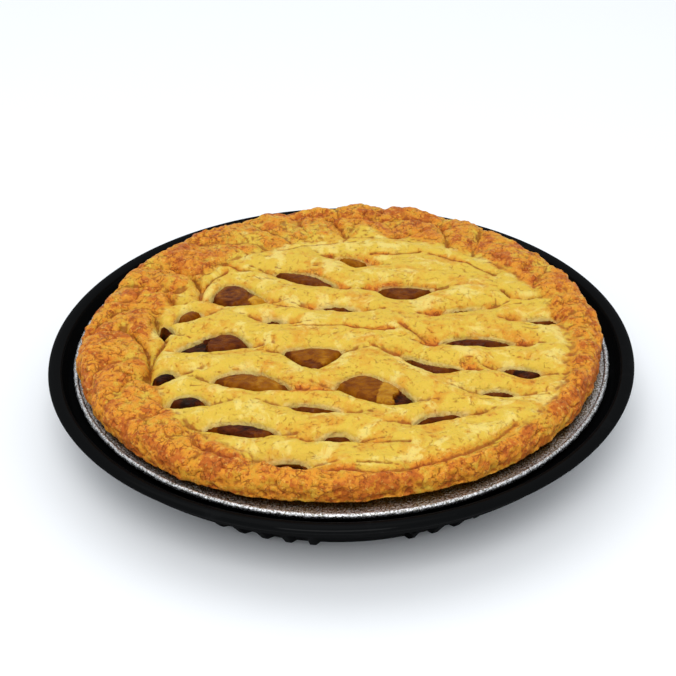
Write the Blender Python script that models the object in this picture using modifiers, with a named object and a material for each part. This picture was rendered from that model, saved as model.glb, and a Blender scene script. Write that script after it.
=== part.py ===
"""Braided apple pie in its foil tin and the black tray that it is carried in.

Metres, +Z up. The origin is on the ground under the middle of the tray, and -Y is the front.
"""

import math
from typing import NamedTuple

import bmesh
import bpy
from mathutils import Matrix, Vector, noise

MM = 0.001
GAP = 0.3 * MM

# Tray: a 10.5 inch carrying tray of thin black plastic
TRAY_RADIUS = 133.35 * MM
TRAY_HEIGHT = 35.0 * MM
TRAY_WALL = 1.2 * MM
TRAY_FOOT_RADIUS = 99.5 * MM
TRAY_FOOT_WIDTH = 5.0 * MM
TRAY_FLOOR_RAISE = 1.2 * MM
TRAY_SEGMENTS = 64
LIP_DEPTH = 2.6 * MM
RIB_FROM_Z = 4.0 * MM
RIB_TO_Z = 17.0 * MM
RIB_PLAIN_FROM = math.radians(267.0)
RIB_PLAIN_TO = math.radians(284.0)
RIB_INSET = 2.9 * MM
RIB_DEPTH = 2.3 * MM

# Tin: a 9 inch foil pie pan, 9 5/8 inch over its curled edge
TIN_RADIUS = 122.5 * MM
TIN_MOUTH_RADIUS = 111.0 * MM
TIN_BASE_RADIUS = 90.0 * MM
TIN_WALL = 0.5 * MM
TIN_CURL = 1.3 * MM
TIN_RIM_Z = TRAY_HEIGHT - 1.7 * MM
TIN_FLANGE_Z = TIN_RIM_Z - 1.3 * MM
TIN_BASE_Z = 2.4 * MM + GAP
TIN_SEGMENTS = 60

# Pastry: heights are above the tin's curled edge
CRUST_RADIUS = 117.5 * MM
# How far the pastry reaches, in millimetres, every twenty degrees from the right by way of the back
CRUST_REACH = (118.6, 118.0, 116.6, 117.6, 118.2, 115.0, 115.2, 114.8, 115.2,
               118.0, 119.0, 119.0, 118.4, 116.6, 115.4, 116.2, 116.4, 117.4)
CRUST_SEGMENTS = 96
LID_EDGE_RISE = 12.5 * MM
LID_CROWN = 3.0 * MM
LID_FLAT_RADIUS = 105.0 * MM
LID_THICKNESS = 4.2 * MM
BASE_THICKNESS = 3.4 * MM
NOSE_RISE = 4.6 * MM
SHOULDER_RADIUS = 101.0 * MM
SHOULDER_RISE = 2.0 * MM
CAVITY_SEGMENTS = 48
BRAID_MIDDLE = Vector((8.0, -14.0, 0.0)) * MM
BRAID_RADIUS = 94.0 * MM
SHOULDER_WIDTH = 9.0 * MM
BORDER_RISE = 12.6 * MM
GROOVE_DEPTH = 1.8 * MM
GROOVE_WIDTH = 5.0 * MM
BORDER_LOBES = 24
LOBE_HEIGHT = 1.0 * MM
LOBE_SLANT = 60.0
LUMP_HEIGHT = 0.8 * MM
LUMP_SIZE = 21.0 * MM

# Filling: its height in the openings, from the lid's surface, and how its top rounds off there
SWELL_TOP = -1.6 * MM
SWELL_SHOULDER = -2.8 * MM
SWELL_INSET = 0.65 * MM
SWELL_TAPER = 0.7
SWELL_FROM = -7.0 * MM
SWELL_MIN_WIDTH = 6.0
FILLED_REACH = 100.0


class Slit(NamedTuple):
    """One opening of the braid: middle, length, tilt, and how far its two edges bow out."""

    x: float
    y: float
    length: float
    tilt: float
    rise: float
    fall: float
    rise_at: float = 0.5
    fall_at: float = 0.5


# Millimetres and degrees, from the back row to the front row
SLITS = [
    Slit(6, 59, 22, -24, 2.0, 6.0, 0.5, 0.7),
    Slit(-17, 41, 38, -24, 4.5, 6.0),
    Slit(31, 31, 29, 0, 0.5, 12.0),
    Slit(-47, 23, 28, -8, 13.0, 5.5, 0.26, 0.3),
    Slit(-1, 13, 25, -9, 2.5, 2.0, 0.5, 0.65),
    Slit(57, 11, 25, 13, 1.7, 1.5),
    Slit(-70, 8, 15, 22, 6.0, 1.5, 0.65, 0.5),
    Slit(-30, 4, 17, -16, 1.3, 2.5),
    Slit(-80, 0, 13, -38, 2.2, 4.0, 0.3, 0.7),
    Slit(94, 4, 16, 6, -0.5, 5.5),
    Slit(-56, -17, 31, 1, 11.0, 3.5, 0.64, 0.33),
    Slit(61, -17, 40, -1, 4.5, 2.6, 0.5, 0.6),
    Slit(-12.5, -21.5, 29, -2, 1.5, 14.0, 0.5, 0.55),
    Slit(40, -30, 36, -20, -3.4, 9.0),
    Slit(79.5, -38, 19, -10, 0.5, 6.0, 0.5, 0.7),
    Slit(-77, -38, 12, 14, 4.0, 5.5, 0.55, 0.3),
    Slit(-37.5, -46, 35, -14, 8.0, 5.0, 0.35, 0.45),
    Slit(67, -54, 21, -6, 0.8, 2.2),
    Slit(14, -54, 36, -14, 11.0, 8.0, 0.3, 0.73),
    Slit(-65.5, -58.5, 18, -2, 6.5, 3.2),
    Slit(-12, -63.5, 31, -10, 0.8, 4.0),
    Slit(42, -72, 27, 12, 2.7, 2.5, 0.45, 0.3),
    Slit(-41, -78, 31, -9, 4.2, 3.8, 0.45, 0.6),
    Slit(-2, -86, 20, -2, 3.6, 1.0),
]
SLIT_POINTS = 6
SLIT_FLARE = 1.6 * MM
FLARE_TOP = 0.8 * MM
FLARE_BOTTOM = -2.4 * MM
CUTTER_TOP = 5.0 * MM
CUTTER_BOTTOM = -8.0 * MM


def clear_scene():
    """Removes every object, so that the model starts from nothing."""
    for obj in list(bpy.data.objects):
        bpy.data.objects.remove(obj, do_unlink=True)


def new_collection(name):
    """A collection linked to the scene."""
    collection = bpy.data.collections.new(name)
    bpy.context.scene.collection.children.link(collection)
    return collection


def material(name, colour, roughness, metallic=0.0):
    """A plain Principled material."""
    made = bpy.data.materials.new(name)
    made.use_nodes = True
    shader = made.node_tree.nodes["Principled BSDF"]
    shader.inputs["Base Color"].default_value = (*colour, 1.0)
    shader.inputs["Roughness"].default_value = roughness
    shader.inputs["Metallic"].default_value = metallic
    made.diffuse_color = (*colour, 1.0)
    return made


def link_mesh(name, mesh, collection, finish=None):
    """An object for a mesh, in a collection, with its material."""
    obj = bpy.data.objects.new(name, mesh)
    collection.objects.link(obj)
    if finish is not None:
        mesh.materials.append(finish)
    return obj


def evaluated_mesh(obj):
    """The object's mesh with its modifiers applied."""
    bpy.context.view_layer.update()
    graph = bpy.context.evaluated_depsgraph_get()
    return bpy.data.meshes.new_from_object(obj.evaluated_get(graph))


def turned(name, profile, segments, collection, finish=None):
    """A solid of revolution. Its profile runs from the axis at the top, round the outside, to the axis."""
    mesh = bpy.data.meshes.new(name + "_profile")
    points = [(radius, 0.0, z) for radius, z in profile]
    mesh.from_pydata(points, [(i, i + 1) for i in range(len(points) - 1)], [])
    source = bpy.data.objects.new(name + "_profile", mesh)
    bpy.context.scene.collection.objects.link(source)
    screw = source.modifiers.new("Turn", "SCREW")
    screw.axis = "Z"
    screw.steps = segments
    screw.render_steps = segments
    screw.use_merge_vertices = True
    screw.merge_threshold = 0.00001
    made = evaluated_mesh(source)
    bpy.data.objects.remove(source, do_unlink=True)
    bpy.data.meshes.remove(mesh)
    made.name = name
    return link_mesh(name, made, collection, finish)


def smooth_shaded(obj, angle=math.radians(35.0)):
    """Shades an object smooth, with its sharp edges kept."""
    obj.data.shade_smooth()
    obj.data.set_sharp_from_angle(angle=angle)


def crust_radius(angle):
    """How far the pastry's edge is from the axis, in an outline that is a little uneven."""
    turns = (angle / math.tau) % 1.0 * len(CRUST_REACH)
    index = int(turns) % len(CRUST_REACH)
    following = CRUST_REACH[(index + 1) % len(CRUST_REACH)]
    blend = smooth_step(turns - int(turns), 0.0, 1.0)
    return (CRUST_REACH[index] + (following - CRUST_REACH[index]) * blend) * MM


def lid_height(radius):
    """Height of the lid's smooth dome over the ground."""
    share = min(radius / LID_FLAT_RADIUS, 1.1)
    return TIN_RIM_Z + LID_EDGE_RISE + LID_CROWN * (1.0 - share * share)


def smooth_step(value, low, high):
    """0 below low, 1 above high, and an S curve between."""
    t = max(0.0, min(1.0, (value - low) / (high - low)))
    return t * t * (3.0 - 2.0 * t)


def braid_reach(angle):
    """How far the braid reaches from the axis: it is a circle set towards the front, inside the border."""
    toward = BRAID_MIDDLE.x * math.cos(angle) + BRAID_MIDDLE.y * math.sin(angle)
    return toward + math.sqrt(BRAID_RADIUS**2 - BRAID_MIDDLE.length_squared + toward**2)


def crust_top(x, y):
    """Height of the pastry's upper face over the ground: dome, groove, and a border with crimped lobes."""
    radius, angle = math.hypot(x, y), math.atan2(y, x)
    inward = max(crust_radius(angle) - radius, 0.0)
    past_braid = radius - braid_reach(angle)
    lobe = LOBE_HEIGHT * math.cos(BORDER_LOBES * angle + LOBE_SLANT * inward)
    lump = LUMP_HEIGHT * noise.noise(Vector((x, y, 0.0)) / LUMP_SIZE)
    border = smooth_step(past_braid, -GROOVE_WIDTH, GROOVE_WIDTH)
    groove = GROOVE_DEPTH * max(0.0, 1.0 - abs(past_braid) / GROOVE_WIDTH)
    dome = lid_height(radius) - TIN_RIM_Z
    rise = dome + (BORDER_RISE - dome + lobe) * border + lump - groove
    swell = math.sqrt(max(0.0, 1.0 - (1.0 - min(inward / SHOULDER_WIDTH, 1.0)) ** 2))
    return TIN_RIM_Z + NOSE_RISE + (rise - NOSE_RISE) * swell


def bow(share, apex):
    """How far an edge of a slit has bowed out, from 0 at its ends to 1 at its apex."""
    t = share / apex if share < apex else (1.0 - share) / (1.0 - apex)
    return math.sin(0.5 * math.pi * t) ** 1.15


def slit_outline(slit, widening, scale):
    """Points round a slit: along its upper edge to the right, and back along its lower edge."""
    stretch = slit.length * MM + 2.0 * widening
    shares = [(1.0 - math.cos(math.pi * i / SLIT_POINTS)) / 2.0 for i in range(SLIT_POINTS + 1)]
    points = []
    for share in shares:
        rise = bow(share, slit.rise_at) * (slit.rise * MM + widening)
        points.append(Vector(((share - 0.5) * stretch, rise, 0.0)))
    for share in shares[-2:0:-1]:
        fall = bow(share, slit.fall_at) * (slit.fall * MM + widening)
        points.append(Vector(((share - 0.5) * stretch, -fall, 0.0)))
    middle = sum(points, Vector()) / len(points)
    turn = Matrix.Rotation(math.radians(slit.tilt), 4, "Z")
    origin = Vector((slit.x, slit.y, 0.0)) * MM
    return [origin + turn @ (middle + (p - middle) * scale) for p in points]


def slit_loft(name, slit, levels, collection):
    """A closed loft of a slit's outline. A level has its height from the lid's top, widening and scale."""
    surface = lid_height(math.hypot(slit.x, slit.y) * MM)
    shape = bmesh.new()
    rings = []
    for offset, widening, scale in levels:
        lift = Vector((0.0, 0.0, surface + offset))
        rings.append([shape.verts.new(p + lift) for p in slit_outline(slit, widening, scale)])
    count = len(rings[0])
    shape.faces.new(rings[0])
    shape.faces.new(list(reversed(rings[-1])))
    for below, above in zip(rings, rings[1:]):
        for i in range(count):
            j = (i + 1) % count
            shape.faces.new((below[i], above[i], above[j], below[j]))
    bmesh.ops.recalc_face_normals(shape, faces=shape.faces)
    mesh = bpy.data.meshes.new(name)
    shape.to_mesh(mesh)
    shape.free()
    return link_mesh(name, mesh, collection)


def slit_cutter(index, slit, collection, crust):
    """A cutter through the lid: the slit's outline below, and a wider one where the strands round over."""
    levels = [
        (CUTTER_BOTTOM, 0.0, 1.0),
        (FLARE_BOTTOM, 0.0, 1.0),
        (FLARE_TOP, SLIT_FLARE, 1.0),
        (CUTTER_TOP, SLIT_FLARE, 1.0),
    ]
    cutter = slit_loft(f"slit_{index:02d}", slit, levels, collection)
    cutter.parent = crust


def swell(index, slit, collection):
    """The apple that stands in an opening, a little clear of the pastry round it, with a rounded top."""
    half_width = 0.5 * (slit.rise + slit.fall) * MM
    scale = 1.0 - SWELL_INSET / half_width
    levels = [
        (SWELL_FROM, 0.0, scale),
        (SWELL_SHOULDER, 0.0, scale),
        (SWELL_TOP, 0.0, SWELL_TAPER * scale),
    ]
    slit_loft(f"swell_{index:02d}", slit, levels, collection)


def tin_wall_radius(z, inset=0.0):
    """Radius of the tin's outer wall at a height, less an inset."""
    share = (z - TIN_BASE_Z) / (TIN_FLANGE_Z - TIN_BASE_Z)
    return TIN_BASE_RADIUS + (TIN_MOUTH_RADIUS - TIN_BASE_RADIUS) * share - inset


def build_tray(collection):
    """The black tray: rounded lip, step, ledge and sloping wall, with ribs round its foot."""
    top, wall, foot = TRAY_HEIGHT, TRAY_WALL, TRAY_FOOT_RADIUS
    floor_top = TIN_BASE_Z - GAP
    profile = [
        (0.0, floor_top),
        (foot - 2.6 * MM, floor_top),
        (foot - 0.2 * MM, floor_top + 1.2 * MM),
        (TRAY_RADIUS - 15.6 * MM, top - 11.2 * MM),
        (TRAY_RADIUS - 14.2 * MM, top - 9.4 * MM),
        (TRAY_RADIUS - 8.2 * MM, top - 8.4 * MM),
        (TRAY_RADIUS - 6.0 * MM, top - 1.4 * MM),
        (TRAY_RADIUS - 4.8 * MM, top - 0.2 * MM),
        (TRAY_RADIUS - 3.2 * MM, top),
        (TRAY_RADIUS - 1.0 * MM, top - 0.5 * MM),
        (TRAY_RADIUS, top - 1.6 * MM),
        (TRAY_RADIUS - 0.4 * MM, top - LIP_DEPTH),
        (TRAY_RADIUS - wall - 0.4 * MM, top - LIP_DEPTH),
        (TRAY_RADIUS - 4.6 * MM, top - 1.8 * MM),
        (TRAY_RADIUS - 7.0 * MM, top - 9.8 * MM),
        (TRAY_RADIUS - 13.2 * MM, top - 10.8 * MM),
        (foot + 13.0 * MM, 17.0 * MM),
        (foot + 2.2 * MM, 1.6 * MM),
        (foot, 0.0),
        (foot - TRAY_FOOT_WIDTH, 0.0),
        (foot - TRAY_FOOT_WIDTH - 1.0 * MM, TRAY_FLOOR_RAISE),
        (0.0, TRAY_FLOOR_RAISE),
    ]
    finish = material("black_plastic", (0.008, 0.008, 0.009), 0.28)
    tray = turned("tray", profile, TRAY_SEGMENTS, collection, finish)
    shape = bmesh.new()
    shape.from_mesh(tray.data)
    walls = []
    for face in shape.faces:
        middle = face.calc_center_median()
        angle = math.atan2(middle.y, middle.x) % math.tau
        on_wall = RIB_FROM_Z < middle.z < RIB_TO_Z and math.hypot(middle.x, middle.y) > foot
        if on_wall and face.normal.z < 0.0 and not RIB_PLAIN_FROM < angle < RIB_PLAIN_TO:
            walls.append(face)
    bmesh.ops.inset_individual(shape, faces=walls, thickness=RIB_INSET, depth=RIB_DEPTH)
    shape.to_mesh(tray.data)
    shape.free()
    smooth_shaded(tray)
    return tray


def build_tin(collection):
    """The foil tin: sloping wall, flat flange and curled edge."""
    curl_middle = TIN_RADIUS - TIN_CURL
    curl_z = TIN_RIM_Z - TIN_CURL
    curl = [math.radians(a) for a in (170.0, 125.0, 80.0, 35.0, -10.0, -55.0, -100.0)]
    profile = [
        (0.0, TIN_BASE_Z + TIN_WALL),
        (TIN_BASE_RADIUS - 2.0 * TIN_WALL, TIN_BASE_Z + TIN_WALL),
        (TIN_MOUTH_RADIUS - TIN_WALL, TIN_FLANGE_Z),
        (TIN_MOUTH_RADIUS + 0.6 * MM, TIN_FLANGE_Z + 0.3 * MM),
        *[(curl_middle + TIN_CURL * math.cos(a), curl_z + TIN_CURL * math.sin(a)) for a in curl],
        (curl_middle - 1.0 * MM, curl_z - 0.5 * MM),
        (TIN_MOUTH_RADIUS + 0.9 * MM, TIN_FLANGE_Z - 0.3 * MM),
        (TIN_MOUTH_RADIUS + 0.1 * MM, TIN_FLANGE_Z - 0.7 * MM),
        (TIN_BASE_RADIUS, TIN_BASE_Z),
        (0.0, TIN_BASE_Z),
    ]
    finish = material("aluminium_foil", (0.62, 0.62, 0.63), 0.3, metallic=1.0)
    tin = turned("foil_tin", profile, TIN_SEGMENTS, collection, finish)
    smooth_shaded(tin)
    return tin


def crust_profile():
    """The pastry's turned outline before it is shaped: lid, border, nose, and the base in the tin."""
    lid = [0.0, 30.0, 58.0, 80.0, 89.0, 94.0, 99.0]
    border = [14.0, 9.0, 5.0, 2.2, 0.7, 0.0]
    base_z = TIN_BASE_Z + TIN_WALL + GAP
    top = TIN_RIM_Z + LID_EDGE_RISE
    return [
        *[(radius * MM, top) for radius in lid],
        *[(CRUST_RADIUS - inward * MM, top) for inward in border],
        (CRUST_RADIUS, TIN_RIM_Z + 2.2 * MM),
        (CRUST_RADIUS - 1.6 * MM, TIN_RIM_Z + 0.7 * MM),
        (TIN_MOUTH_RADIUS + 0.8 * MM, TIN_FLANGE_Z + 0.4 * MM + GAP),
        (TIN_MOUTH_RADIUS - 1.2 * MM, TIN_FLANGE_Z + 0.2 * MM),
        (tin_wall_radius(base_z, 2.2 * MM), base_z),
        (0.0, base_z),
    ]


def shaped_radius(radius, angle):
    """Where a turned point goes, so that its rings follow the braid's edge and the pastry's outline."""
    braid, edge = braid_reach(angle), crust_radius(angle)
    if radius < BRAID_RADIUS:
        return radius * braid / BRAID_RADIUS
    share = (radius - BRAID_RADIUS) / (CRUST_RADIUS - BRAID_RADIUS)
    return braid + (edge - braid) * share


def shape_crust(crust):
    """Moves the turned pastry's points to its uneven outline and its domed, lobed upper face."""
    top = TIN_RIM_Z + LID_EDGE_RISE - 0.1 * MM
    for vertex in crust.data.vertices:
        radius = math.hypot(vertex.co.x, vertex.co.y)
        angle = math.atan2(vertex.co.y, vertex.co.x)
        if vertex.co.z > top:
            placed = shaped_radius(radius, angle)
        elif vertex.co.z > TIN_RIM_Z:
            placed = radius + crust_radius(angle) - CRUST_RADIUS
        else:
            continue
        vertex.co.x = placed * math.cos(angle)
        vertex.co.y = placed * math.sin(angle)
        if vertex.co.z > top:
            vertex.co.z = crust_top(vertex.co.x, vertex.co.y)


def cavity_profile(inset):
    """The space inside the pastry that the filling takes, less an inset on every side."""
    base_z = TIN_BASE_Z + TIN_WALL + GAP + BASE_THICKNESS + inset
    wall = BASE_THICKNESS + 3.0 * TIN_WALL + inset
    shoulder = TIN_FLANGE_Z + SHOULDER_RISE
    roof = LID_THICKNESS + inset
    radii = [0.0, 25.0, 50.0, 75.0, 92.0]
    lid = [(r * MM, lid_height(r * MM) - roof) for r in radii]
    return [
        *lid,
        (SHOULDER_RADIUS - inset, shoulder),
        (tin_wall_radius(base_z, wall), base_z),
        (0.0, base_z),
    ]


def build_crust(collection, cutters):
    """The pastry: base, crimped edge and braided lid in one piece, with the slits cut through the lid."""
    finish = material("pastry", (0.78, 0.48, 0.13), 0.6)
    crust = turned("crust", crust_profile(), CRUST_SEGMENTS, collection, finish)
    shape_crust(crust)
    hollow = turned("filling_space", cavity_profile(0.0), CAVITY_SEGMENTS, cutters)
    hollow.parent = crust
    for index, slit in enumerate(SLITS):
        slit_cutter(index, slit, cutters, crust)
    cut = crust.modifiers.new("Slits and space", "BOOLEAN")
    cut.operation = "DIFFERENCE"
    cut.operand_type = "COLLECTION"
    cut.collection = cutters
    cut.solver = "EXACT"
    smooth_shaded(crust)
    return crust


def build_filling(collection, scratch):
    """The apple filling: a core that fills the pastry, with what stands in the openings fused on."""
    finish = material("apple_filling", (0.30, 0.13, 0.045), 0.25)
    filling = turned("filling", cavity_profile(GAP), CAVITY_SEGMENTS, collection, finish)
    for index, slit in enumerate(SLITS):
        under_braid = math.hypot(slit.x, slit.y) + slit.length / 2.0 < FILLED_REACH
        if slit.rise + slit.fall > SWELL_MIN_WIDTH and under_braid:
            swell(index, slit, scratch)
    join = filling.modifiers.new("Swells", "BOOLEAN")
    join.operation = "UNION"
    join.operand_type = "COLLECTION"
    join.collection = scratch
    join.solver = "MANIFOLD"
    joined = evaluated_mesh(filling)
    filling.modifiers.clear()
    filling.data = joined
    for obj in list(scratch.objects):
        bpy.data.objects.remove(obj, do_unlink=True)
    bpy.data.collections.remove(scratch)
    smooth_shaded(filling)
    return filling


def main():
    """Builds every piece of the pie, and hides what only cuts."""
    clear_scene()
    pieces = new_collection("braided_apple_pie")
    cutters = new_collection("cutters")
    scratch = new_collection("swells")
    build_tray(pieces)
    build_tin(pieces)
    build_crust(pieces, cutters)
    build_filling(pieces, scratch)
    for cutter in cutters.objects:
        cutter.hide_render = True
        cutter.display_type = "WIRE"


main()
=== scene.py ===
"""Looks of a braided apple pie in its foil tin and black tray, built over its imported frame.

Metres, +Z up. The origin is on the ground under the middle of the tray, and -Y is the front.
"""

import logging
import math
from dataclasses import dataclass
from enum import Enum

import bpy
import numpy as np
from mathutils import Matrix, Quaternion, Vector
from mathutils.kdtree import KDTree

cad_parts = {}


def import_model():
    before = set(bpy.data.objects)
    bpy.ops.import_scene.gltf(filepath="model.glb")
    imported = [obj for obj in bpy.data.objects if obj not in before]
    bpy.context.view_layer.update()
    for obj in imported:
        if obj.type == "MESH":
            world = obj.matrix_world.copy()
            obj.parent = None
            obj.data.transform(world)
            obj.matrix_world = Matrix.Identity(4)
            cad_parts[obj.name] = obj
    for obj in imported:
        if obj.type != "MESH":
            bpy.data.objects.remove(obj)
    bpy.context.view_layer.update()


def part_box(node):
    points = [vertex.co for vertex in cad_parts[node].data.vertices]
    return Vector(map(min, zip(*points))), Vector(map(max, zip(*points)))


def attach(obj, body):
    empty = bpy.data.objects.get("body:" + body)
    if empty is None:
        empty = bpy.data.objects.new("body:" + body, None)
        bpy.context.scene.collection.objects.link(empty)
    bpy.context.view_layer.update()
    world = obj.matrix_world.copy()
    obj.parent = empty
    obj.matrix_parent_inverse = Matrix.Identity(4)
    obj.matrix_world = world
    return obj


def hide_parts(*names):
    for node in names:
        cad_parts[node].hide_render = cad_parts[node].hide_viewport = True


MM = 0.001
BODY = "root"
IMAGE_SIZE = 676.0

logging.basicConfig(level=logging.INFO, format="%(message)s")
log = logging.getLogger("pie")

Colour = tuple[float, float, float]
Profile = list[tuple[float, float]]
Piece = bpy.types.Object
Finish = bpy.types.Material
Socket = bpy.types.NodeSocket

# Large numbers that turn a grid cell's place into the number of a random direction
CELL_FACTORS = np.array([73856093, 19349663, 83492791])
MIX_FACTOR = 2654435761


class Slot(Enum):
    """The record's material slots."""

    PLASTIC = "black_plastic"
    FOIL = "aluminium_foil"
    PASTRY = "pastry"
    APPLE = "apple_filling"


# Small shared tools


def linear(*levels: int) -> Colour:
    """Turns an 8-bit screen colour into the linear values that a shader takes.

    Args:
        *levels: Red, green and blue, 0 to 255.

    Returns:
        The linear red, green and blue.
    """
    shares = [level / 255.0 for level in levels]
    red, green, blue = [s / 12.92 if s <= 0.04045 else ((s + 0.055) / 1.055) ** 2.4 for s in shares]
    return red, green, blue


def smooth_step(value: np.ndarray, low: float, high: float) -> np.ndarray:
    """An S curve, for each value, from 0 at low to 1 at high."""
    t = np.clip((value - low) / (high - low), 0.0, 1.0)
    return t * t * (3.0 - 2.0 * t)


def lumps(points: np.ndarray, size: float, seed: int) -> np.ndarray:
    """Gradient noise with lumps of about one size.

    Args:
        points: Places in metres, one row each.
        size: The width of a lump in metres.
        seed: Picks another pattern.

    Returns:
        Values from about -1 to 1, one for each place.
    """
    directions = np.random.default_rng(seed).normal(size=(256, 3))
    directions /= np.linalg.norm(directions, axis=1)[:, None]
    scaled = points / size + 31.7 * seed
    cell = np.floor(scaled).astype(np.int64)
    part = scaled - cell
    fade = part**3 * (part * (6.0 * part - 15.0) + 10.0)
    total = np.zeros(len(points))
    for corner in np.ndindex(2, 2, 2):
        offset = np.array(corner)
        mixed = (cell + offset) @ CELL_FACTORS
        mixed = (mixed ^ (mixed >> 11)) * MIX_FACTOR
        chosen = directions[(mixed >> 15) & 255]
        weight = np.prod(np.where(offset == 1, fade, 1.0 - fade), axis=1)
        total += weight * ((part - offset) * chosen).sum(axis=1)
    return 1.6 * total


def hollows(piece: Piece, rounds: int) -> np.ndarray:
    """How far each point lies under the smoothed surface round it, in metres.

    Args:
        piece: The piece.
        rounds: How many times the surface is smoothed. More rounds find wider hollows.

    Returns:
        One depth for each point, negative where it stands proud.
    """
    ends = np.empty(2 * len(piece.data.edges), dtype=np.int32)
    piece.data.edges.foreach_get("vertices", ends)
    one, two = ends.reshape(-1, 2).T
    points = places(piece)
    count = np.bincount(one, minlength=len(points)) + np.bincount(two, minlength=len(points))
    smooth = points.copy()
    for _ in range(rounds):
        total = np.zeros_like(smooth)
        for axis in range(3):
            total[:, axis] = np.bincount(one, smooth[two, axis], len(points))
            total[:, axis] += np.bincount(two, smooth[one, axis], len(points))
        smooth = 0.3 * smooth + 0.7 * total / np.maximum(count, 1)[:, None]
    return ((smooth - points) * facing(piece)).sum(axis=1)


def polar(points: np.ndarray) -> tuple[np.ndarray, np.ndarray]:
    """Each place's distance from the upright axis, and its direction round it."""
    return np.hypot(points[:, 0], points[:, 1]), np.arctan2(points[:, 1], points[:, 0])


def deselect_all() -> None:
    """Leaves object mode with nothing selected."""
    if bpy.context.object is not None and bpy.context.object.mode != "OBJECT":
        bpy.ops.object.mode_set(mode="OBJECT")
    bpy.ops.object.select_all(action="DESELECT")


def activate(piece: Piece) -> None:
    """Makes a piece the only selected one, and the active one."""
    deselect_all()
    piece.select_set(True)
    bpy.context.view_layer.objects.active = piece


def named_piece(name: str) -> Piece:
    """Names the object that an operator has just added, and returns it."""
    piece = bpy.context.object
    piece.name = name
    piece.data.name = name
    return piece


def each_point(piece: Piece, name: str) -> np.ndarray:
    """A vector of each of the piece's points, one row each."""
    flat = np.empty(3 * len(piece.data.vertices), dtype=np.float32)
    piece.data.vertices.foreach_get(name, flat)
    return flat.reshape(-1, 3).astype(np.float64)


def places(piece: Piece) -> np.ndarray:
    """The piece's points, one row each."""
    return each_point(piece, "co")


def facing(piece: Piece) -> np.ndarray:
    """The piece's point normals, one row each."""
    return each_point(piece, "normal")


def place(piece: Piece, points: np.ndarray) -> None:
    """Moves the piece's points to new places."""
    piece.data.vertices.foreach_set("co", points.astype(np.float32).ravel())
    piece.data.update()


def store(piece: Piece, name: str, values: np.ndarray) -> None:
    """Keeps one value for each point under a name, for the piece's material to read."""
    attribute = piece.data.attributes.new(name, "FLOAT", "POINT")
    attribute.data.foreach_set("value", values.astype(np.float32))


def modify(piece: Piece, kind: str, **settings: object) -> None:
    """Adds a modifier to a piece and applies it.

    Args:
        piece: The piece.
        kind: The modifier's type.
        **settings: Values for the modifier's properties.
    """
    activate(piece)
    modifier = piece.modifiers.new(kind.title(), kind)
    for key, value in settings.items():
        setattr(modifier, key, value)
    bpy.ops.object.modifier_apply(modifier=modifier.name)


def select_points(piece: Piece, chosen: np.ndarray) -> None:
    """Selects some of a piece's points, and goes to edit mode with them."""
    activate(piece)
    bpy.ops.object.mode_set(mode="EDIT")
    bpy.ops.mesh.select_mode(type="VERT")
    bpy.ops.mesh.select_all(action="DESELECT")
    bpy.ops.object.mode_set(mode="OBJECT")
    piece.data.vertices.foreach_set("select", chosen.astype(bool))
    bpy.ops.object.mode_set(mode="EDIT")


def turned(name: str, profile: Profile, steps: int) -> Piece:
    """Spins a closed outline round the upright axis. A corner on the axis becomes a pole.

    Args:
        name: The piece's name.
        profile: Radius and height of each corner, in metres.
        steps: How many times the outline is repeated round the axis.

    Returns:
        The turned piece.
    """
    deselect_all()
    bpy.ops.mesh.primitive_circle_add(vertices=len(profile), radius=MM)
    piece = named_piece(name)
    place(piece, np.array([(radius, 0.0, height) for radius, height in profile]))
    bpy.ops.object.mode_set(mode="EDIT")
    bpy.ops.mesh.select_all(action="SELECT")
    bpy.ops.mesh.spin(steps=steps, angle=math.tau, center=(0, 0, 0), axis=(0, 0, 1))
    bpy.ops.mesh.select_all(action="SELECT")
    bpy.ops.mesh.remove_doubles(threshold=0.00001)
    bpy.ops.mesh.dissolve_degenerate(threshold=0.00001)
    bpy.ops.mesh.select_all(action="SELECT")
    bpy.ops.mesh.normals_make_consistent(inside=False)
    bpy.ops.object.mode_set(mode="OBJECT")
    return piece


def finished(piece: Piece, slot: Slot, finish: Finish, *nodes: str) -> None:
    """Dresses a piece, lets it ride on the pie, and hides the frame nodes that it stands for.

    Args:
        piece: The piece.
        slot: The record's material slot; not used.
        finish: The material.
        *nodes: The nodes that the piece replaces.
    """
    piece.data.materials.clear()
    piece.data.materials.append(finish)
    activate(piece)
    bpy.ops.object.shade_smooth_by_angle(angle=math.radians(50.0))
    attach(piece, BODY)
    if nodes:
        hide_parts(*nodes)
    log.info("%s: %d faces", piece.name, len(piece.data.polygons))


# Materials


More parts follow.
